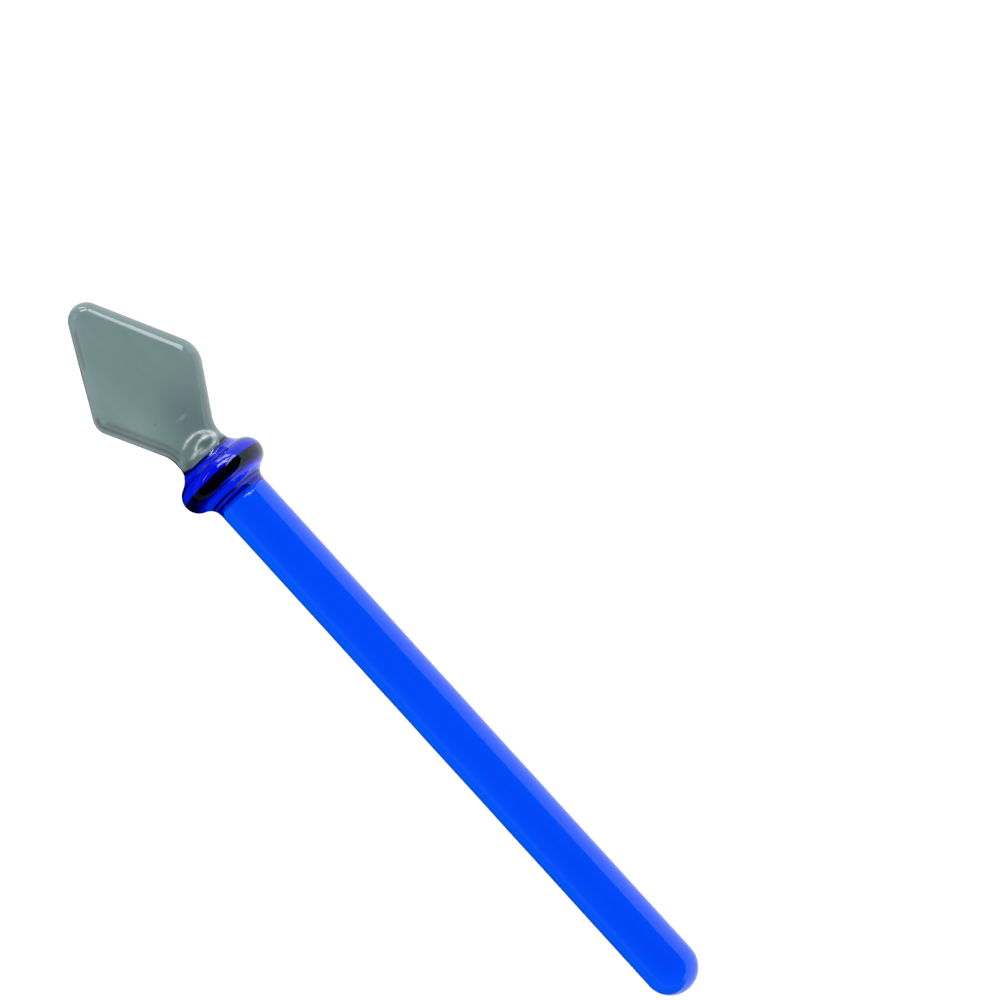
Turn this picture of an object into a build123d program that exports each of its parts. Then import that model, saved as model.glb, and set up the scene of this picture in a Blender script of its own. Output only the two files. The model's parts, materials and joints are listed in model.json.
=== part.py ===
"""Flame-worked glass paddle tool: a cobalt cane handle, a cobalt collar bead and a smoke-grey paddle.

Three pieces of glass, welded in the flame. Millimetres, +Z up. The tool lies as it rests on a table:
its collar and the round butt of its handle touch Z = 0, and the paddle's broad face looks up. +X runs
from butt to tip. Stations are distances along the tool's own axis from the butt's end.
"""

from build123d import *
from math import asin, atan2, cos, degrees, hypot, radians, sin, sqrt
import os

os.makedirs("parts", exist_ok=True)

# Handle: 8 mm cane with a fire-polished butt, drawn down to a spigot inside the collar
CANE_RADIUS = 4.0
SPIGOT_RADIUS = 3.4

# Collar: a wound ring of round section, with concave fillets where it runs out on the cane and neck
COLLAR_STATION = 97.3
COLLAR_RING_RADIUS = 4.5
COLLAR_SECTION_RADIUS = 2.4
CANE_FILLET = 2.0
NECK_FILLET = 3.0
WELD_STATION = 100.65

# Paddle: mashed flat into a kite with soft corners and a full-round rim, thickest at its neck
NECK_RADIUS = 3.85
NECK_INSET = 0.08
TIP_RADIUS = 2.64
LEFT_CORNER = (113.9, 8.97)
RIGHT_CORNER = (113.1, -9.83)
LEFT_CORNER_RADIUS = 2.7
RIGHT_CORNER_RADIUS = 4.35
LOWER_LEFT_SLOPE = 0.51
LOWER_RIGHT_SLOPE = 0.619
UPPER_LEFT_SLOPE = 0.522
UPPER_RIGHT_SLOPE = 0.494
SHOULDER_RADIUS = 4.4
FACE_HALF_THICKNESS = 2.1
HEEL_HALF_THICKNESS = 2.55
HEEL_END_STATION = 116.0
RIM_RADIUS = 2.0
CLOSE = 0.01

# Resting pose: a straight edge under the butt's sphere and the collar's lowest section touches both
span = COLLAR_STATION - CANE_RADIUS
reach = hypot(span, COLLAR_RING_RADIUS)
tilt = degrees(atan2(COLLAR_RING_RADIUS, span) - asin((CANE_RADIUS - COLLAR_SECTION_RADIUS) / reach))
rise = sin(radians(tilt))
run = cos(radians(tilt))


def rounded_side(corner, lower_slope, upper_slope, radius):
    """How far out the kite reaches at a rounded corner."""
    lower_length = hypot(1, lower_slope)
    upper_length = hypot(1, upper_slope)
    drop = (lower_length * upper_slope + upper_length * lower_slope) / (lower_slope + upper_slope)
    return abs(corner[1]) - radius * (drop - 1)


# The upper flanks meet at a point, which the tip's radius rounds off
flank_sum = UPPER_LEFT_SLOPE + UPPER_RIGHT_SLOPE
point_station = (
    LEFT_CORNER[1] - RIGHT_CORNER[1] + LEFT_CORNER[0] * UPPER_LEFT_SLOPE + RIGHT_CORNER[0] * UPPER_RIGHT_SLOPE
) / flank_sum
point_side = LEFT_CORNER[1] - (point_station - LEFT_CORNER[0]) * UPPER_LEFT_SLOPE
tip_drop = (hypot(1, UPPER_LEFT_SLOPE) + hypot(1, UPPER_RIGHT_SLOPE)) / flank_sum
tip_station = point_station - TIP_RADIUS * (tip_drop - 1)

# The origin is on the table, under the middle of the tool's length and width
left_side = rounded_side(LEFT_CORNER, LOWER_LEFT_SLOPE, UPPER_LEFT_SLOPE, LEFT_CORNER_RADIUS)
right_side = rounded_side(RIGHT_CORNER, LOWER_RIGHT_SLOPE, UPPER_RIGHT_SLOPE, RIGHT_CORNER_RADIUS)
length_on_table = CANE_RADIUS + (tip_station - CANE_RADIUS) * run
butt_end = Vector(
    CANE_RADIUS - CANE_RADIUS * run - length_on_table / 2,
    (right_side - left_side) / 2,
    CANE_RADIUS - CANE_RADIUS * rise,
)
axis_direction = Vector(run, 0, rise)
tool_axis = Axis(butt_end, axis_direction)
face_plane = Plane(origin=butt_end, x_dir=axis_direction, z_dir=(-rise, 0, run))
side_plane = Plane(origin=butt_end, x_dir=axis_direction, z_dir=(0, -1, 0))


def run_out(radius, fillet_radius):
    """Half the length of the collar, and the point on its section, where a fillet meets a given radius."""
    centre_radius = radius + fillet_radius
    centre_gap = COLLAR_SECTION_RADIUS + fillet_radius
    half = sqrt(centre_gap**2 - (centre_radius - COLLAR_RING_RADIUS) ** 2)
    share = COLLAR_SECTION_RADIUS / centre_gap
    touch_radius = COLLAR_RING_RADIUS + share * (centre_radius - COLLAR_RING_RADIUS)
    return half, half * share, touch_radius


cane_half, cane_touch, cane_touch_radius = run_out(CANE_RADIUS, CANE_FILLET)
neck_half, neck_touch, neck_touch_radius = run_out(NECK_RADIUS, NECK_FILLET)
seam_station = COLLAR_STATION - cane_half
neck_fillet_end = COLLAR_STATION + neck_half
weld_radius = NECK_RADIUS + NECK_FILLET - sqrt(NECK_FILLET**2 - (neck_fillet_end - WELD_STATION) ** 2)

# Handle rod
with BuildPart() as handle_rod:
    with BuildSketch(side_plane):
        with BuildLine():
            butt_arc = CenterArc((CANE_RADIUS, 0), CANE_RADIUS, 90, 90)
            Polyline(
                butt_arc @ 0,
                (seam_station, CANE_RADIUS),
                (seam_station, SPIGOT_RADIUS),
                (WELD_STATION, SPIGOT_RADIUS),
                (WELD_STATION, 0),
                butt_arc @ 1,
            )
        make_face()
    revolve(axis=tool_axis)
handle_rod.part.label = "handle_rod"

# Collar bead
with BuildPart() as collar_bead:
    with BuildSketch(side_plane):
        with BuildLine():
            cane_fillet = RadiusArc(
                (seam_station, CANE_RADIUS),
                (COLLAR_STATION - cane_touch, cane_touch_radius),
                -CANE_FILLET,
            )
            crown = ThreePointArc(
                cane_fillet @ 1,
                (COLLAR_STATION, COLLAR_RING_RADIUS + COLLAR_SECTION_RADIUS),
                (COLLAR_STATION + neck_touch, neck_touch_radius),
            )
            neck_fillet = RadiusArc(crown @ 1, (WELD_STATION, weld_radius), -NECK_FILLET)
            Polyline(
                neck_fillet @ 1,
                (WELD_STATION, SPIGOT_RADIUS),
                (seam_station, SPIGOT_RADIUS),
                cane_fillet @ 0,
            )
        make_face()
    revolve(axis=tool_axis)
collar_bead.part.label = "collar_bead"

# Paddle blade
left_root = (LEFT_CORNER[0] - (LEFT_CORNER[1] - NECK_RADIUS) / LOWER_LEFT_SLOPE, NECK_RADIUS)
right_root = (RIGHT_CORNER[0] - (-RIGHT_CORNER[1] - NECK_RADIUS) / LOWER_RIGHT_SLOPE, -NECK_RADIUS)


def is_rim(edge):
    """True for an edge of a broad face that follows the kite's outline."""
    middle = face_plane.to_local_coords(edge @ 0.5)
    goes_across = min(abs(middle.X - WELD_STATION), abs(middle.X - HEEL_END_STATION)) < CLOSE
    stands_up = abs(middle.Z) < FACE_HALF_THICKNESS / 2
    return not goes_across and not stands_up


with BuildPart() as paddle_blade:
    # Kite outline, which flares out again to meet the collar
    with BuildSketch(face_plane) as kite:
        with BuildLine():
            right_flare = TangentArc(
                (neck_fillet_end, -NECK_RADIUS),
                (WELD_STATION, NECK_INSET - weld_radius),
                tangent=(-1, 0),
            )
            left_flare = TangentArc(
                (neck_fillet_end, NECK_RADIUS),
                (WELD_STATION, weld_radius - NECK_INSET),
                tangent=(-1, 0),
            )
            Polyline(right_flare @ 0, right_root, RIGHT_CORNER, (point_station, point_side), LEFT_CORNER,
                     left_root, left_flare @ 0)
            Line(left_flare @ 1, right_flare @ 1)
        make_face()
        fillet(kite.vertices().sort_by(Axis.X)[-1], TIP_RADIUS)
        fillet(kite.vertices().sort_by(Axis.Y)[-1], LEFT_CORNER_RADIUS)
        fillet(kite.vertices().sort_by(Axis.Y)[0], RIGHT_CORNER_RADIUS)
        fillet(kite.vertices().sort_by(Axis.X)[4:6], SHOULDER_RADIUS)
    extrude(amount=HEEL_HALF_THICKNESS, both=True)

    # Thickness, seen from the side: flat faces that thicken towards the neck
    with BuildSketch(side_plane):
        with BuildLine():
            Polyline(
                (WELD_STATION, 0),
                (tip_station + RIM_RADIUS, 0),
                (tip_station + RIM_RADIUS, FACE_HALF_THICKNESS),
                (HEEL_END_STATION, FACE_HALF_THICKNESS),
            )
            heel = TangentArc(
                (HEEL_END_STATION, FACE_HALF_THICKNESS),
                (WELD_STATION, HEEL_HALF_THICKNESS),
                tangent=(-1, 0),
            )
            Line(heel @ 1, (WELD_STATION, 0))
        make_face()
        mirror(about=Plane.XZ)
    extrude(amount=left_side + right_side, both=True, mode=Mode.INTERSECT)
    fillet(paddle_blade.edges().filter_by(is_rim), RIM_RADIUS)
paddle_blade.part.label = "paddle_blade"

export_step(handle_rod.part, "parts/handle_rod.step")
export_step(collar_bead.part, "parts/collar_bead.step")
export_step(paddle_blade.part, "parts/paddle_blade.step")
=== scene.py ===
"""Looks for the glass paddle tool: three fused pieces of clear coloured glass on a pale table.

Metres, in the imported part's own frame. Each piece of glass is a closed mesh that replaces its CAD node.
Stations are distances along the tool's own axis from the end of its butt. Sides are distances across it,
towards the paddle's left corner, and heights are distances from its axis, up on the paddle's front.
"""

import json
import math

import bpy
import numpy as np
from mathutils import Matrix, Vector


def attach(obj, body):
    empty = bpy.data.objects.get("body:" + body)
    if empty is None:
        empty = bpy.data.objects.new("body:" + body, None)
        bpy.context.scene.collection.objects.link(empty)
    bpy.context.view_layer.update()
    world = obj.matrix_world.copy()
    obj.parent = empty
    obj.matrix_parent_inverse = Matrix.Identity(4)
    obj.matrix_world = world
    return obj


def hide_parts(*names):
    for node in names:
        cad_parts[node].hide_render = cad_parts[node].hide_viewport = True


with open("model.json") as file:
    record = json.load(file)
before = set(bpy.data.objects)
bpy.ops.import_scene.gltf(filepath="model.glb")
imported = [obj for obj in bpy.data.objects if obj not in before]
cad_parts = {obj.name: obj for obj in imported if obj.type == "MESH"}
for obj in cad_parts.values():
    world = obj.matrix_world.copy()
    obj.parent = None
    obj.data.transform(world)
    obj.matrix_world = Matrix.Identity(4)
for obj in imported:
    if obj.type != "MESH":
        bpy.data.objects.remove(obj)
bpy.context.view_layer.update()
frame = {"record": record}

MM = 0.001

# The tool's axis, from the record's handle mount: it runs from the butt towards the collar
handle = frame["record"]["mounts"][0]
CANE_RADIUS = handle["dims"]["r_mm"] * MM
CANE_LENGTH = handle["dims"]["length_mm"] * MM
ALONG = -Vector(handle["axis"]).normalized()
ACROSS = Vector((0, 1, 0))
FACE_UP = ALONG.cross(ACROSS)
BUTT_END = Vector(handle["pos_m"]) - ALONG * (CANE_LENGTH / 2 + CANE_RADIUS)

# Collar and welds, as in the CAD model
SEAM_STATION = CANE_RADIUS + CANE_LENGTH
COLLAR_STATION = 97.3 * MM
RING_RADIUS = 4.5 * MM
SECTION_RADIUS = 2.4 * MM
COLLAR_FILLET = 2.0 * MM
NECK_FILLET = 3.0 * MM
WELD_STATION = 100.65 * MM
NECK_RADIUS = 3.85 * MM
NECK_INSET = 0.08 * MM

# Paddle outline and thickness, as in the CAD model
TIP_RADIUS = 2.64 * MM
LEFT_CORNER = (113.9 * MM, 8.97 * MM)
RIGHT_CORNER = (113.1 * MM, -9.83 * MM)
LEFT_CORNER_RADIUS = 2.7 * MM
RIGHT_CORNER_RADIUS = 4.35 * MM
LOWER_LEFT_SLOPE = 0.51
LOWER_RIGHT_SLOPE = 0.619
UPPER_LEFT_SLOPE = 0.522
UPPER_RIGHT_SLOPE = 0.494
SHOULDER_RADIUS = 4.4 * MM
FACE_HALF = 2.1 * MM
HEEL_HALF = 2.55 * MM
HEEL_END = 116.0 * MM
NECK_END = 103.0 * MM

# Mesh sizes and clearances
BUTT_STEPS = 33
CANE_STEPS = 120
ROD_AROUND = 96
COLLAR_AROUND = 192
COLLAR_FILLET_STEPS = 20
COLLAR_CROWN_STEPS = 72
BLADE_AROUND = 320
CORNER_STEPS = 24
TIP_STEPS = 121
NECK_ROWS, BODY_ROWS, TIP_ROWS = 72, 120, 72
NECK_ROWS_LENGTH = 5 * MM
WELD_GAP = 0.002 * MM
HAIR = 0.003 * MM   # the visual model stays this far inside the CAD solids where they touch their box
TINY = 1e-9         # keeps divisions finite

# Hand-drawn cane: how much thinner its waist is, and its ripple, as shares of its radius
WAIST = 0.006
RIPPLE = 0.002
RIPPLE_RATE = 38
RIPPLE_SKEW = 0.8

# The heel: where it is thickest, how far that spreads sideways, its share at the sides, and its curve
HEEL_SIDE = -2.2 * MM
HEEL_SPREAD = 4.2 * MM
HEEL_AT_SIDES = 0.2
HEEL_CURVE = 1.3

# Broad hollows left by the mashing tool: middle (station, side), reach (along, across) and depth
HOLLOWS = (
    ((109.6 * MM, 4.4 * MM), (4.2 * MM, 3.2 * MM), 0.22 * MM),
    ((117.6 * MM, 5.0 * MM), (5.0 * MM, 2.2 * MM), 0.12 * MM),
)

# Folds where the neck was pressed into the face: middle, reach, width of the wall, lift over the wall, and
# how much of the lift is added further in
FOLDS = (
    ((102.13 * MM, -0.42 * MM), (2.02 * MM, 2.8 * MM), 0.34 * MM, 0.185 * MM, 0.1),
    ((101.85 * MM, -1.4 * MM), (0.98 * MM, 1.8 * MM), 0.3 * MM, 0.16 * MM, 0.3),
)
FOLD_SOFTNESS = 0.12
FOLD_CROWN = 0.5 * MM
FOLD_INLAND = 1.2 * MM

# Painted highlights, drawn as milky lines along oval arcs round the neck's folds: middle, reach, first and
# last turn in degrees, width and strength
PAINTED_HIGHLIGHT_ARCS = (
    ((102.08 * MM, -0.42 * MM), (1.92 * MM, 2.75 * MM), -96, 36, 0.155 * MM, 0.8),
    ((101.98 * MM, -1.4 * MM), (0.84 * MM, 1.72 * MM), -180, 180, 0.15 * MM, 0.84),
    ((101.98 * MM, -1.55 * MM), (0.86 * MM, 1.45 * MM), -125, -10, 0.27 * MM, 0.9),
    ((101.10 * MM, 0.45 * MM), (0.75 * MM, 1.5 * MM), -35, 40, 0.2 * MM, 0.78),
)
PAINTED_HIGHLIGHT_RUN_OUT = 9   # degrees past either end of an arc
PAINTED_HIGHLIGHT_UNEVEN = 0.2
PAINTED_HIGHLIGHT_RATE = 5
# A paler patch on the front, made milky in the same way: middle, reach and strength
PALE_PATCH = ((106.9 * MM, -1.4 * MM), (0.22 * MM, 0.8 * MM), 0.22)

# Painted shade: dark lines inside the rim of the front, where its rims would refract dark surroundings: side
# (1 left, -1 right), distance inside the rim, width, first and last station, and strength
PAINTED_RIM_SHADES = (
    (1, 0.74 * MM, 0.24 * MM, 102.2 * MM, 115.4 * MM, 0.74),
    (1, 1.46 * MM, 0.26 * MM, 102.8 * MM, 113.9 * MM, 0.50),
    (1, 0.72 * MM, 0.16 * MM, 114.6 * MM, 121.5 * MM, 0.10),
    (1, 0.84 * MM, 0.17 * MM, 120.8 * MM, 126.4 * MM, 0.50),
    (-1, 0.60 * MM, 0.38 * MM, 102.4 * MM, 113.2 * MM, 0.26),
)
SHADE_RUN_OUT = 0.8 * MM

# Dark spots on the front: a seed bubble, a cloudy patch and three at the neck, as middle, reach and strength
DARK_SPOTS = (
    ((108.72 * MM, 2.08 * MM), (0.15 * MM, 0.12 * MM), 0.7),
    ((107.0 * MM, -2.2 * MM), (3.0 * MM, 2.4 * MM), 0.22),
    ((101.2 * MM, 2.6 * MM), (0.8 * MM, 0.9 * MM), 0.74),
    ((101.0 * MM, -3.3 * MM), (0.7 * MM, 0.5 * MM), 0.8),
    ((102.0 * MM, -1.5 * MM), (0.5 * MM, 1.0 * MM), 0.4),
)


# ---------------------------------------------------------------- meshes

def to_frame(stations, sides, heights):
    """Points in the part's frame from arrays of station, side and height in the tool's own frame."""
    basis = np.array([ALONG, ACROSS, FACE_UP])
    local = np.stack([stations, sides, heights], axis=-1)
    return local @ basis + np.array(BUTT_END)


def grid_faces(rows, columns):
    """Quads of a grid whose last column joins its first."""
    faces = []
    for i in range(rows - 1):
        for j in range(columns):
            k = (j + 1) % columns
            faces.append((i * columns + j, i * columns + k, (i + 1) * columns + k, (i + 1) * columns + j))
    return faces


def make_piece(name, points, faces, welded, node, slot, shades=None):
    """A smooth closed mesh that rides on the root and stands for its CAD node.

    welded marks the faces fused to a neighbour. shades holds an array of a value for each point, by the name
    of the attribute that the material reads.
    """
    mesh = bpy.data.meshes.new(name)
    mesh.from_pydata([tuple(p) for p in points], [], faces)
    mesh.update()
    flags = np.array(welded, dtype=bool)
    mesh.polygons.foreach_set("use_smooth", ~flags)
    weld = mesh.attributes.new("weld", "FLOAT", "FACE")
    weld.data.foreach_set("value", flags.astype(np.float32))
    for shade, values in (shades or {}).items():
        layer = mesh.attributes.new(shade, "FLOAT", "POINT")
        layer.data.foreach_set("value", np.asarray(values, dtype=np.float32))
    piece = bpy.data.objects.new(name, mesh)
    bpy.context.scene.collection.objects.link(piece)
    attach(piece, "root")
    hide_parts(node)
    return piece


def lathe(stations, radii, around, start_cap, end_cap, swell=None):
    """Points, faces and weld flags of a turned piece.

    A cap is "pole" for a point on the axis or "weld" for a flat disc. An end cap may also be a loop of
    (sides, heights), one for each point around, when only what it encloses is welded.
    """
    angles = np.linspace(0, 2 * np.pi, around, endpoint=False)
    stations, radii = np.array(stations), np.array(radii)
    ring = radii[:, None] * np.ones(around)
    along = stations[:, None] * np.ones(around)
    if swell is not None:
        ring = ring * (1 + swell(along, angles[None, :]))
    points = list(to_frame(along, ring * np.cos(angles), ring * np.sin(angles)).reshape(-1, 3))
    faces = grid_faces(len(stations), around)
    welded = [False] * len(faces)
    for end, kind in ((0, start_cap), (len(stations) - 1, end_cap)):
        first = end * around
        if not isinstance(kind, str):
            inner = len(points)
            points.extend(to_frame(np.full(around, stations[end]), *kind))
            for j in range(around):
                k = (j + 1) % around
                faces.append((first + j, first + k, inner + k, inner + j))
                welded.append(False)
            first, kind = inner, "weld"
        centre = len(points)
        points.append(to_frame(stations[end : end + 1], np.zeros(1), np.zeros(1))[0])
        for j in range(around):
            k = (j + 1) % around
            fan = (first + j, centre, first + k) if end == 0 else (first + k, centre, first + j)
            faces.append(fan)
            welded.append(kind == "weld")
    return points, faces, welded


def arc(centre, radius, start, end, steps):
    """Stations and radii along an arc, from angle start to angle end in degrees."""
    turn = np.radians(np.linspace(start, end, steps))
    return list(centre[0] + radius * np.cos(turn)), list(centre[1] + radius * np.sin(turn))


def smooth_step(value):
    """0 below 0, 1 above 1, and a smooth rise between them."""
    value = np.clip(value, 0, 1)
    return value * value * (3 - 2 * value)


def spot(stations, sides, middle, reach, strength):
    """A soft round patch, strongest at its middle."""
    along = (stations - middle[0]) / reach[0]
    across = (sides - middle[1]) / reach[1]
    return strength * np.exp(-(along**2) - across**2)


# ---------------------------------------------------------------- handle rod

def drawn(stations, angles):
    """How hand-drawn cane swells and thins along its length, as a share of its radius."""
    t = stations / SEAM_STATION
    waist = -WAIST * np.sin(np.pi * np.clip(t, 0, 1)) ** 2
    ripple = RIPPLE * np.sin(RIPPLE_RATE * t + RIPPLE_SKEW * np.cos(angles)) * np.sin(np.pi * t)
    return waist + ripple


def make_handle_rod():
    """Solid cane with a round butt, up to its seam with the collar."""
    butt_s, butt_r = arc((CANE_RADIUS, 0), CANE_RADIUS - HAIR, 180, 90, BUTT_STEPS)
    cane_s = list(np.linspace(CANE_RADIUS, SEAM_STATION - WELD_GAP, CANE_STEPS)[1:])
    cane_r = [CANE_RADIUS - HAIR] * len(cane_s)
    mesh = lathe(butt_s[1:] + cane_s, butt_r[1:] + cane_r, ROD_AROUND, "pole", "weld", drawn)
    return make_piece("handle_rod_glass", *mesh, "handle_rod", "cobalt_cane_glass")


# ---------------------------------------------------------------- collar bead

def run_out(radius, fillet):
    """A fillet between the collar's section and a given radius.

    Gives how far its end is from the collar's middle, how far from the axis it is centred, and the angle at
    which it meets the section.
    """
    rise = radius + fillet - RING_RADIUS
    gap = SECTION_RADIUS + fillet
    half = math.sqrt(gap**2 - rise**2)
    return half, radius + fillet, math.degrees(math.atan2(rise, half))


cane_half, cane_centre, cane_angle = run_out(CANE_RADIUS, COLLAR_FILLET)
neck_half, neck_centre, neck_angle = run_out(NECK_RADIUS, NECK_FILLET)
NECK_FILLET_END = COLLAR_STATION + neck_half
WELD_RADIUS = neck_centre - math.sqrt(NECK_FILLET**2 - (NECK_FILLET_END - WELD_STATION) ** 2)
NECK_END_HALF = WELD_RADIUS - NECK_INSET


def neck_section(angles):
    """Sides and heights round the flattened end of the neck, where it is welded on."""
    sides = NECK_END_HALF * np.cos(angles)
    rim = np.clip((NECK_END_HALF - np.abs(sides)) / HEEL_HALF, 0, 1)
    heights = HEEL_HALF * np.sqrt(1 - (1 - rim) ** 2) * np.sign(np.sin(angles))
    return sides, heights


def make_collar_bead():
    """A ring of round section with a concave fillet on each side, welded to the cane and to the neck."""
    weld_turn = math.degrees(math.asin((NECK_FILLET_END - WELD_STATION) / NECK_FILLET))
    low_s, low_r = arc((COLLAR_STATION - cane_half, cane_centre), COLLAR_FILLET,
                       -90, -cane_angle, COLLAR_FILLET_STEPS)
    top_s, top_r = arc((COLLAR_STATION, RING_RADIUS), SECTION_RADIUS - HAIR,
                       180 - cane_angle, neck_angle, COLLAR_CROWN_STEPS)
    out_s, out_r = arc((NECK_FILLET_END, neck_centre), NECK_FILLET,
                       180 + neck_angle, 270 - weld_turn, COLLAR_FILLET_STEPS)
    turns = np.linspace(0, 2 * np.pi, COLLAR_AROUND, endpoint=False)
    mesh = lathe(low_s + top_s[1:] + out_s[1:], low_r + top_r[1:] + out_r[1:], COLLAR_AROUND,
                 "weld", neck_section(turns))
    return make_piece("collar_bead_glass", *mesh, "collar_bead", "cobalt_collar_glass")


# ---------------------------------------------------------------- paddle outline

def corner_arc(before, corner, after, radius, steps):
    """Points of the arc that rounds a corner between two other points, by its radius."""
    before, corner, after = (np.array(p) for p in (before, corner, after))
    one = (before - corner) / np.linalg.norm(before - corner)
    two = (after - corner) / np.linalg.norm(after - corner)
    half = math.acos(float(one @ two)) / 2
    middle = (one + two) / np.linalg.norm(one + two)
    centre = corner + middle * radius / math.sin(half)
    start = corner + one * radius / math.tan(half) - centre
    end = corner + two * radius / math.tan(half) - centre
    whole = math.pi - 2 * half
    return [centre + (start * math.sin((1 - t) * whole) + end * math.sin(t * whole)) / math.sin(whole)
            for t in np.linspace(0, 1, steps)]


def find_point():
    """Where the paddle's upper flanks would meet, which the tip's radius rounds off."""
    gap = (LEFT_CORNER[1] - RIGHT_CORNER[1] + LEFT_CORNER[0] * UPPER_LEFT_SLOPE
           + RIGHT_CORNER[0] * UPPER_RIGHT_SLOPE)
    station = gap / (UPPER_LEFT_SLOPE + UPPER_RIGHT_SLOPE)
    return station, LEFT_CORNER[1] - (station - LEFT_CORNER[0]) * UPPER_LEFT_SLOPE


def side_line(neck_side, root, corner, corner_radius):
    """One side of the outline, from inside the collar to the end of its corner's arc."""
    start = (WELD_STATION - NECK_ROWS_LENGTH, neck_side)
    shoulder = corner_arc((WELD_STATION, neck_side), root, corner, SHOULDER_RADIUS, CORNER_STEPS)
    return [np.array(start)] + shoulder + corner_arc(root, corner, POINT, corner_radius, CORNER_STEPS)


POINT = find_point()
LEFT_ROOT = (LEFT_CORNER[0] - (LEFT_CORNER[1] - NECK_RADIUS) / LOWER_LEFT_SLOPE, NECK_RADIUS)
RIGHT_ROOT = (RIGHT_CORNER[0] - (-RIGHT_CORNER[1] - NECK_RADIUS) / LOWER_RIGHT_SLOPE, -NECK_RADIUS)
tip_arc = corner_arc(LEFT_CORNER, POINT, RIGHT_CORNER, TIP_RADIUS, TIP_STEPS)
apex = int(np.argmax([p[0] for p in tip_arc]))
left_line = np.array(side_line(NECK_RADIUS, LEFT_ROOT, LEFT_CORNER, LEFT_CORNER_RADIUS)
                     + tip_arc[: apex + 1])
right_line = np.array(side_line(-NECK_RADIUS, RIGHT_ROOT, RIGHT_CORNER, RIGHT_CORNER_RADIUS)
                      + tip_arc[: apex - 1 : -1])
outline = np.concatenate([left_line, right_line[::-1]])
TIP_STATION = float(outline[:, 0].max())


def outline_distance(stations, sides):
    """Distance from each point to the paddle's outline."""
    starts, ends = outline[:-1], outline[1:]
    spans = ends - starts
    lengths = np.maximum((spans**2).sum(1), TINY**2)
    nearest = np.full(stations.shape, np.inf)
    for a, span, length in zip(starts, spans, lengths):
        share = np.clip(((stations - a[0]) * span[0] + (sides - a[1]) * span[1]) / length, 0, 1)
        gap = np.hypot(stations - a[0] - share * span[0], sides - a[1] - share * span[1])
        nearest = np.minimum(nearest, gap)
    return nearest


def neck_radius_at(stations):
    """Half the width of the neck along the last of the collar's fillet."""
    past = np.clip(NECK_FILLET_END - stations, 0, NECK_FILLET)
    narrower = (WELD_RADIUS - NECK_END_HALF) * past / (NECK_FILLET_END - WELD_STATION)
    return neck_centre - np.sqrt(NECK_FILLET**2 - past**2) - narrower


# ---------------------------------------------------------------- paddle faces

def oval(stations, sides, middle, reach):
    """Distance outside an oval, and the turn about its middle in degrees."""
    along = (stations - middle[0]) / reach[0]
    across = (sides - middle[1]) / reach[1]
    radius = np.maximum(np.hypot(along, across), TINY)
    slope = np.hypot(along / reach[0], across / reach[1]) / radius
    outside = (radius - 1) / np.maximum(slope, TINY)
    return outside, np.degrees(np.arctan2(across, along))


def fold(stations, sides, middle, reach, wall, lift, inward):
    """Height of a low swelling with an oval edge, where the neck was pressed into the face.

    It falls by lift over the width of its wall, which ends at the oval, and more gently further in.
    """
    inside = -oval(stations, sides, middle, reach)[0]
    fall = np.clip(inside / wall, 0, 1)
    ramp = np.where(fall < FOLD_SOFTNESS, fall**2 / (2 * FOLD_SOFTNESS), fall - FOLD_SOFTNESS / 2)
    crown = inward * (1 - np.exp(-np.maximum(inside - wall, 0) / FOLD_CROWN))
    return lift * (ramp / (1 - FOLD_SOFTNESS / 2) + crown)


def blade_height(stations, sides, edge_distance):
    """Height of the paddle's faces over its middle plane, with full-round rims and a thicker heel."""
    heel = smooth_step((HEEL_END - stations) / (HEEL_END - NECK_END)) ** HEEL_CURVE
    spread = HEEL_AT_SIDES + (1 - HEEL_AT_SIDES) * np.exp(-(((sides - HEEL_SIDE) / HEEL_SPREAD) ** 2))
    even = smooth_step((NECK_END - stations) / (NECK_END - WELD_STATION))
    plate = FACE_HALF + (HEEL_HALF - FACE_HALF) * heel * (spread + (1 - spread) * even)
    for hollow in HOLLOWS:
        plate = plate - spot(stations, sides, *hollow)
    rim = 1 - np.clip(edge_distance / plate, 0, 1)
    return plate * np.sqrt(np.maximum(1 - rim**2, 0))


def painted_highlight(stations, sides):
    """How milky the front is along its painted highlights round the neck's folds, and at its paler patch,
    from 0 to 1.
    """
    highlight_milk = spot(stations, sides, *PALE_PATCH)
    for middle, reach, first, last, width, strength in PAINTED_HIGHLIGHT_ARCS:
        outside, turn = oval(stations, sides, middle, reach)
        from_first = np.abs((turn - first + 180) % 360 - 180)
        from_last = np.abs((turn - last + 180) % 360 - 180)
        beyond = np.where((turn >= first) & (turn <= last), 0, np.minimum(from_first, from_last))
        uneven = 1 - PAINTED_HIGHLIGHT_UNEVEN + PAINTED_HIGHLIGHT_UNEVEN * np.sin(np.radians(turn) * PAINTED_HIGHLIGHT_RATE + 2 * strength)
        line = strength * uneven * np.exp(-((outside / width) ** 2) / 2 - (beyond / PAINTED_HIGHLIGHT_RUN_OUT) ** 2)
        highlight_milk = np.maximum(highlight_milk, line)
    return highlight_milk


def painted_rim_shade_and_spots(stations, sides, edge_distance, from_middle):
    """How much darker the front is with painted shade inside its rims and with its dark spots, from 0 to 1.
    """
    shade = np.zeros(stations.shape)
    for side, inside, width, first, last, strength in PAINTED_RIM_SHADES:
        begins = smooth_step((stations - first) / SHADE_RUN_OUT)
        ends = smooth_step((last - stations) / SHADE_RUN_OUT)
        line = np.exp(-(((edge_distance - inside) / width) ** 2) / 2)
        shade += strength * begins * ends * line * (from_middle * side > 0)
    shade = np.clip(shade, 0, 1)
    for dark_spot in DARK_SPOTS:
        shade = np.maximum(shade, spot(stations, sides, *dark_spot))
    return shade


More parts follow.
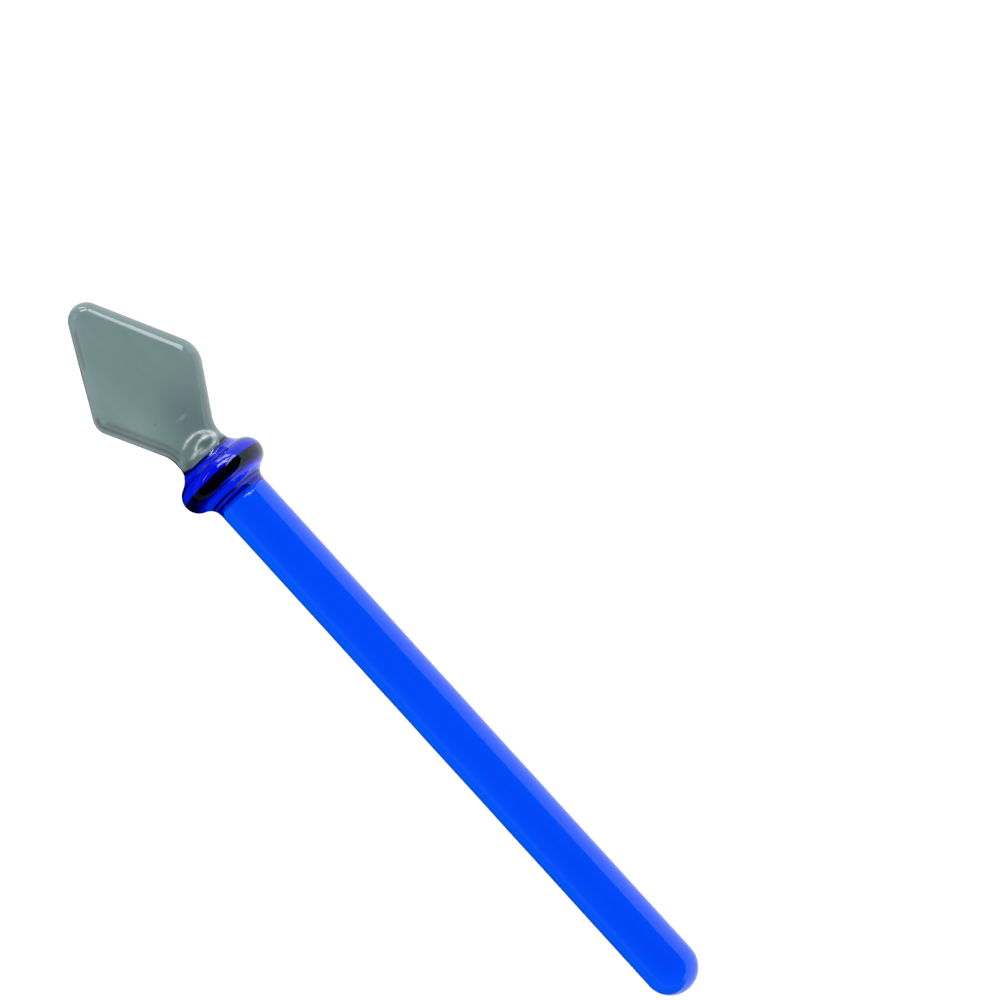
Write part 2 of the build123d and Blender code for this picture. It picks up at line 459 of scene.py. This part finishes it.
def make_paddle_blade():
    """A loop of points at each of many stations, over the front and back under it, closed at both ends."""
    half_around = BLADE_AROUND // 2
    tip_start = TIP_STATION - TIP_RADIUS
    rows = np.concatenate([
        np.linspace(WELD_STATION + WELD_GAP, WELD_STATION + NECK_ROWS_LENGTH, NECK_ROWS),
        np.linspace(WELD_STATION + NECK_ROWS_LENGTH, tip_start, BODY_ROWS)[1:],
        tip_start + TIP_RADIUS * np.sin(np.linspace(0, np.pi / 2, TIP_ROWS + 1))[1:-1],
    ])

    # The neck's sides follow the collar's fillet, and the rest follows the outline
    in_fillet = rows < NECK_FILLET_END
    upper = np.where(in_fillet, neck_radius_at(rows), np.interp(rows, left_line[:, 0], left_line[:, 1]))
    lower = np.where(in_fillet, -neck_radius_at(rows), np.interp(rows, right_line[:, 0], right_line[:, 1]))
    middle = ((upper + lower) / 2)[:, None]
    reach = ((upper - lower) / 2 - HAIR)[:, None]
    sides = middle + reach * np.cos(np.linspace(0, np.pi, half_around + 1))
    stations = rows[:, None] * np.ones(half_around + 1)
    near_weld = 1 - smooth_step((rows - WELD_STATION) / (NECK_FILLET_END - WELD_STATION))[:, None]
    edge_distance = outline_distance(stations, sides) * (1 - near_weld)
    edge_distance = edge_distance + (reach - np.abs(sides - middle)) * near_weld

    # The back is plain, and the front has its folds as well
    back = blade_height(stations, sides, edge_distance)
    back[:, 0] = 0
    back[:, -1] = 0
    inland = smooth_step(edge_distance / FOLD_INLAND)
    front = back.copy()
    for feature in FOLDS:
        front += inland * fold(stations, sides, *feature)
    loop_sides = np.concatenate([sides, sides[:, -2:0:-1]], axis=1)
    loop_heights = np.concatenate([front, -back[:, -2:0:-1]], axis=1)
    loop_stations = rows[:, None] * np.ones(BLADE_AROUND)
    points = list(to_frame(loop_stations, loop_sides, loop_heights).reshape(-1, 3))
    faces = grid_faces(len(rows), BLADE_AROUND)
    welded = [False] * len(faces)

    # A welded disc closes the neck and a fan closes the tip
    root_centre = len(points)
    points.append(to_frame(rows[:1], np.zeros(1), np.zeros(1))[0])
    tip_point = len(points)
    points.append(to_frame(np.array([TIP_STATION]), np.array([tip_arc[apex][1]]), np.zeros(1))[0])
    last = (len(rows) - 1) * BLADE_AROUND
    for j in range(BLADE_AROUND):
        k = (j + 1) % BLADE_AROUND
        faces.append((j, root_centre, k))
        welded.append(True)
        faces.append((last + k, tip_point, last + j))
        welded.append(False)

    # Only the front has the painted highlights, painted rim shade and dark spots, so the back's points and
    # the two centres have zeros
    plain_back = np.zeros((len(rows), half_around - 1))
    shades = {}
    for name, front_shade in (("painted_highlight", painted_highlight(stations, sides)),
                              ("painted_rim_shade_and_spots", painted_rim_shade_and_spots(stations, sides, edge_distance, sides - middle))):
        shades[name] = np.append(np.concatenate([front_shade, plain_back], axis=1).ravel(), (0, 0))
    return make_piece("paddle_blade_glass", points, faces, welded, "paddle_blade", "smoke_glass", shades)


# ---------------------------------------------------------------- nodes

def feed(tree, socket, value):
    """Link another node's output to a socket, or set a plain number or colour on it."""
    if isinstance(value, bpy.types.NodeSocket):
        tree.links.new(value, socket)
    elif isinstance(value, tuple) and len(value) < len(socket.default_value):
        socket.default_value = (*value, 1)
    else:
        socket.default_value = value


def maths(tree, operation, *values):
    """The result of an operation on numbers or other nodes' outputs."""
    node = tree.nodes.new("ShaderNodeMath")
    node.operation = operation
    for socket, value in zip(node.inputs, values):
        feed(tree, socket, value)
    return node.outputs["Value"]


def map_range(tree, value, low, high, to_low, to_high, kind="LINEAR"):
    """A value mapped from one range to another, and held at its ends."""
    node = tree.nodes.new("ShaderNodeMapRange")
    node.interpolation_type = kind
    for name, given in (("Value", value), ("From Min", low), ("From Max", high),
                        ("To Min", to_low), ("To Max", to_high)):
        feed(tree, node.inputs[name], given)
    return node.outputs["Result"]


def fade(tree, value, low, high):
    """0 below low and 1 above high, or the other way round when low is the larger."""
    if low < high:
        return map_range(tree, value, low, high, 0, 1, "SMOOTHSTEP")
    return map_range(tree, value, high, low, 1, 0, "SMOOTHSTEP")


def mix(tree, share, one, two):
    """A colour between two others."""
    node = tree.nodes.new("ShaderNodeMix")
    node.data_type = "RGBA"
    colours = [socket for socket in node.inputs if socket.type == "RGBA"]
    feed(tree, node.inputs[0], share)
    feed(tree, colours[0], one)
    feed(tree, colours[1], two)
    return next(socket for socket in node.outputs if socket.type == "RGBA")


def attribute(tree, name):
    node = tree.nodes.new("ShaderNodeAttribute")
    node.attribute_name = name
    return node.outputs["Fac"]


def noise(tree, stretch, scale, detail):
    """Noise drawn out by stretch along X, Y and Z, where X is nearly the tool's axis."""
    spread = tree.nodes.new("ShaderNodeMapping")
    spread.inputs["Scale"].default_value = stretch
    tree.links.new(tree.nodes.new("ShaderNodeTexCoord").outputs["Object"], spread.inputs["Vector"])
    node = tree.nodes.new("ShaderNodeTexNoise")
    node.inputs["Scale"].default_value = scale
    node.inputs["Detail"].default_value = detail
    tree.links.new(spread.outputs["Vector"], node.inputs["Vector"])
    return node.outputs["Fac"]


# ---------------------------------------------------------------- glass

IOR = 1.5
FUSED_IOR = 1.0

# What each millimetre takes off, in red, green and blue, and how much the streaks darken the glass
COBALT = (1.2, 0.34, 0.004)
DEEP_COBALT = (1.6, 0.4, 0.022)
SMOKE = (0.410, 0.318, 0.312)
CANE_STREAKS = 0.03
SMOKE_STREAKS = 0.05

# What the darkest of the painted rim shade and the dark spots lets through, in red, green and blue, how
# clear the glass stays where its painted highlights are strongest, and how much of a painted highlight is
# left where it is thinnest
SHADE_TINT = (0.14, 0.0, 0.02)
PAINTED_HIGHLIGHT_CLEARNESS = 0.44
PAINTED_HIGHLIGHT_THINNEST = 0.55

# Noise, and the range of its values that each pattern spreads out
STREAK_NOISE = {"stretch": (0.06, 1, 1), "scale": 900, "detail": 3}
CLOUD_NOISE = {"stretch": (0.5, 1, 1), "scale": 160, "detail": 2}
PAINTED_HIGHLIGHT_NOISE = {"stretch": (1, 1, 1), "scale": 2600, "detail": 3}
STREAK_RANGE = (0.35, 0.65)
CLOUD_RANGE = (0.3, 0.7)
PAINTED_HIGHLIGHT_RANGE = (0.35, 0.6)


def glass(name, absorbs, streaks, with_painted_light=False):
    """Clear glass, with how much each millimetre of it absorbs and how much its streaks darken it.

    Glass with painted light also has painted highlights, drawn as milky lines, painted shade inside its
    rims, and dark spots.
    """
    material = bpy.data.materials.new(name)
    material.use_nodes = True
    tree = material.node_tree
    shader = tree.nodes["Principled BSDF"]
    shader.inputs["Transmission Weight"].default_value = 1
    shader.inputs["Roughness"].default_value = 0

    # Fused faces have no refraction, so light goes straight on into the next piece
    shader.inputs["IOR"].default_value = IOR
    feed(tree, shader.inputs["IOR"], map_range(tree, attribute(tree, "weld"), 0, 1, IOR, FUSED_IOR))

    # Streaks run along the cane, and cloudier patches lie between them
    streak = map_range(tree, noise(tree, **STREAK_NOISE), *STREAK_RANGE, 1 - streaks, 1)
    cloud = map_range(tree, noise(tree, **CLOUD_NOISE), *CLOUD_RANGE, 1 - streaks, 1)
    tint = maths(tree, "MULTIPLY", streak, cloud)
    colour = tree.nodes.new("ShaderNodeCombineColor")
    # Painted shade darkens the glass inside the paddle's rims and at its dark spots
    for channel, darkest in zip(colour.inputs, SHADE_TINT):
        shaded = tint
        if with_painted_light:
            shade = map_range(tree, attribute(tree, "painted_rim_shade_and_spots"), 0, 1, 1, darkest)
            shaded = maths(tree, "MULTIPLY", tint, shade)
        feed(tree, channel, shaded)
    tree.links.new(colour.outputs["Color"], shader.inputs["Base Color"])
    # Painted highlights: the glass turns partly milky, lit as a dull surface, along lines round the neck's
    # folds
    if with_painted_light:
        grain = map_range(tree, noise(tree, **PAINTED_HIGHLIGHT_NOISE), *PAINTED_HIGHLIGHT_RANGE, PAINTED_HIGHLIGHT_THINNEST, 1)
        highlight_milk = maths(tree, "MULTIPLY", attribute(tree, "painted_highlight"), grain)
        feed(tree, shader.inputs["Transmission Weight"], map_range(tree, highlight_milk, 0, 1, 1, PAINTED_HIGHLIGHT_CLEARNESS))

    depth = tree.nodes.new("ShaderNodeVolumeAbsorption")
    strongest = max(absorbs)
    depth.inputs["Density"].default_value = strongest / MM
    depth.inputs["Color"].default_value = (*[1 - a / strongest for a in absorbs], 1)
    tree.links.new(depth.outputs["Volume"], tree.nodes["Material Output"].inputs["Volume"])
    return material


handle_rod = make_handle_rod()
collar_bead = make_collar_bead()
paddle_blade = make_paddle_blade()
handle_rod.data.materials.append(glass("cobalt_glass", COBALT, CANE_STREAKS))
collar_bead.data.materials.append(glass("deep_cobalt_glass", DEEP_COBALT, CANE_STREAKS))
# The paddle's glass carries the painted highlights, the painted rim shade and the dark spots
paddle_blade.data.materials.append(glass("smoke_grey_glass", SMOKE, SMOKE_STREAKS, with_painted_light=True))


# ---------------------------------------------------------------- table and cards

FLOOR_REACH = 3
FLOOR_Z = -0.1 * MM
CARD_Z = -0.05 * MM
FLAG_EDGE = 6 * MM
FLOOR_GLOW = 1.05
FLOOR_ALBEDO = 0.06
DULL = 0.9

# Corners, as station and side, of the strip whose shape the dark band in the collar follows
BAND_CORNERS = ((97.95 * MM, -5 * MM), (98.9 * MM, -5 * MM), (99.3 * MM, 5 * MM), (97.6 * MM, 5 * MM))
WHITE = (1, 1, 1)
BLACK = (0, 0, 0)


def emitting(name, colour, strength, albedo=0.0):
    """A dull surface that gives off light."""
    material = bpy.data.materials.new(name)
    material.use_nodes = True
    shader = material.node_tree.nodes["Principled BSDF"]
    shader.inputs["Base Color"].default_value = (albedo, albedo, albedo, 1)
    shader.inputs["Roughness"].default_value = DULL
    shader.inputs["Specular IOR Level"].default_value = 0
    shader.inputs["Emission Color"].default_value = (*colour, 1)
    shader.inputs["Emission Strength"].default_value = strength
    return material


def make_card(name, corners, material, seen_by=None):
    """A flat card on the stage. seen_by names the one kind of ray that sees it, or every kind sees it."""
    mesh = bpy.data.meshes.new(name)
    mesh.from_pydata(corners, [], [tuple(range(len(corners)))])
    card = bpy.data.objects.new(name, mesh)
    bpy.context.scene.collection.objects.link(card)
    card.data.materials.append(material)
    if seen_by:
        card.visible_camera = False
        card.visible_diffuse = False
        card.visible_glossy = seen_by == "glossy"
        card.visible_transmission = seen_by == "transmission"
        card.visible_volume_scatter = False
        card.visible_shadow = False


def rectangle(x_low, x_high, y_low, y_high, z):
    return [(x_low, y_low, z), (x_high, y_low, z), (x_high, y_high, z), (x_low, y_high, z)]


def on_floor(station, side):
    """A point just over the floor, under a place given by its station and side in the tool's own frame."""
    point = BUTT_END + ALONG * station + ACROSS * side
    return (point.x, point.y, CARD_Z)


# The floor, a flag that keeps reflections on the tool's left side dark, and one that makes the dark band
# in the collar
black = emitting("black_card", BLACK, 0)
make_card("floor", rectangle(-FLOOR_REACH, FLOOR_REACH, -FLOOR_REACH, FLOOR_REACH, FLOOR_Z),
          emitting("pale_table", WHITE, FLOOR_GLOW, FLOOR_ALBEDO))
make_card("left_flag", rectangle(-FLOOR_REACH, FLOOR_REACH, FLAG_EDGE, FLOOR_REACH, 0), black, "glossy")
make_card("band_flag", [on_floor(*corner) for corner in BAND_CORNERS], black, "transmission")


# ---------------------------------------------------------------- studio light

# The main view's own directions, to the right and to the top of the picture
TURN = math.radians(47.72)
VIEW_RIGHT = -math.cos(TURN) * ALONG - math.sin(TURN) * ACROSS
VIEW_UP = math.sin(TURN) * ALONG - math.cos(TURN) * ACROSS

# Softboxes round the tool: first and last bearing from the picture's top in degrees, nearest and farthest
# cosine off the upward direction, how much the cosine grows per radian of bearing, strength, and how soft
# the near edge is
SOFTBOXES = (
    (-36, -5, 0.42, 0.27, 0.45, 8.5, 0.01),
    (-34, 2, 0.72, 0.51, 0.0, 8.5, 0.01),
    (8, 24, 0.85, 0.42, 0.0, 7.5, 0.08),
    (-88, -56, 0.55, 0.49, 0.0, 3.0, 0.01),
)
SOFTBOX_TINT = (1.0, 1.02, 1.06)
BEARING_SOFTNESS = 2.5
FAR_SOFTNESS = 0.01

# Colours of the room by direction, and the heights and sides between which they fade
DARK_ROOM = (0.02, 0.02, 0.022)
LOW_ROOM = (0.10, 0.10, 0.11)
WALL_COLOUR = (0.8, 1.1, 1.25)
BACKDROP = (1.1, 1.1, 1.1)
LOW_ROOM_FADE = (0.4, 0.3)
WALL_TOP_FADE = (0.46, 0.42)
WALL_SIDE_FADE = (0.0, 0.25)
THROUGH_FADE = (0.95, 0.85)


def build_world():
    """Pale to the camera, to diffuse light and to most light that comes through the glass.

    Reflections find a dark room, softboxes round the tool and a bright wall on its right side.
    """
    world = bpy.data.worlds.new("studio")
    bpy.context.scene.world = world
    world.use_nodes = True
    tree = world.node_tree
    direction = tree.nodes.new("ShaderNodeTexCoord").outputs["Generated"]
    path = tree.nodes.new("ShaderNodeLightPath")

    def part(vector):
        """How far a direction goes along a vector."""
        dot = tree.nodes.new("ShaderNodeVectorMath")
        dot.operation = "DOT_PRODUCT"
        dot.inputs[1].default_value = vector
        tree.links.new(direction, dot.inputs[0])
        return dot.outputs["Value"]

    height = part(FACE_UP)
    bearing = maths(tree, "ARCTAN2", part(VIEW_RIGHT), part(VIEW_UP))
    room = mix(tree, fade(tree, height, *LOW_ROOM_FADE), DARK_ROOM, LOW_ROOM)
    wall = maths(tree, "MULTIPLY", fade(tree, height, *WALL_TOP_FADE),
                 fade(tree, part(-ACROSS), *WALL_SIDE_FADE))
    room = mix(tree, wall, room, WALL_COLOUR)
    for first, last, near, far, lean, strength, soft in SOFTBOXES:
        begins = [math.radians(first + way * BEARING_SOFTNESS) for way in (-1, 1)]
        ends = [math.radians(last - way * BEARING_SOFTNESS) for way in (-1, 1)]
        across = maths(tree, "MULTIPLY", fade(tree, bearing, *begins), fade(tree, bearing, *ends))
        level = maths(tree, "SUBTRACT", height, maths(tree, "MULTIPLY", bearing, lean))
        down = maths(tree, "MULTIPLY", fade(tree, level, near + soft, near - soft),
                     fade(tree, level, far - FAR_SOFTNESS, far + FAR_SOFTNESS))
        light = tuple(strength * tint for tint in SOFTBOX_TINT)
        room = mix(tree, maths(tree, "MULTIPLY", across, down), room, light)
    through = maths(tree, "MULTIPLY", fade(tree, height, *THROUGH_FADE), path.outputs["Is Transmission Ray"])
    room = mix(tree, through, room, WHITE)
    room = mix(tree, path.outputs["Is Diffuse Ray"], room, WHITE)
    room = mix(tree, path.outputs["Is Camera Ray"], room, BACKDROP)
    background = tree.nodes["Background"]
    tree.links.new(room, background.inputs["Color"])
    background.inputs["Strength"].default_value = 1


build_world()


# ---------------------------------------------------------------- camera

CAMERA_DISTANCE = 0.407
VIEW_WIDTH = 140.351 * MM   # of the tool, from side to side of the square picture
VIEW_STATION = 68.54 * MM
VIEW_SIDE = -26.43 * MM
SENSOR_WIDTH = 36
NEAREST_SEEN = 0.01
BOUNCES = 24

camera_data = bpy.data.cameras.new("camera")
camera_data.sensor_width = SENSOR_WIDTH
camera_data.lens = SENSOR_WIDTH * CAMERA_DISTANCE / VIEW_WIDTH
camera_data.clip_start = NEAREST_SEEN
camera = bpy.data.objects.new("camera", camera_data)
target = BUTT_END + ALONG * VIEW_STATION + ACROSS * VIEW_SIDE
place = Matrix((VIEW_RIGHT, VIEW_UP, FACE_UP)).transposed().to_4x4()
place.translation = target + FACE_UP * CAMERA_DISTANCE
camera.matrix_world = place

scene = bpy.context.scene
scene.collection.objects.link(camera)
bpy.context.scene.camera = camera
scene.view_settings.view_transform = "Standard"
scene.cycles.max_bounces = BOUNCES
scene.cycles.transmission_bounces = BOUNCES
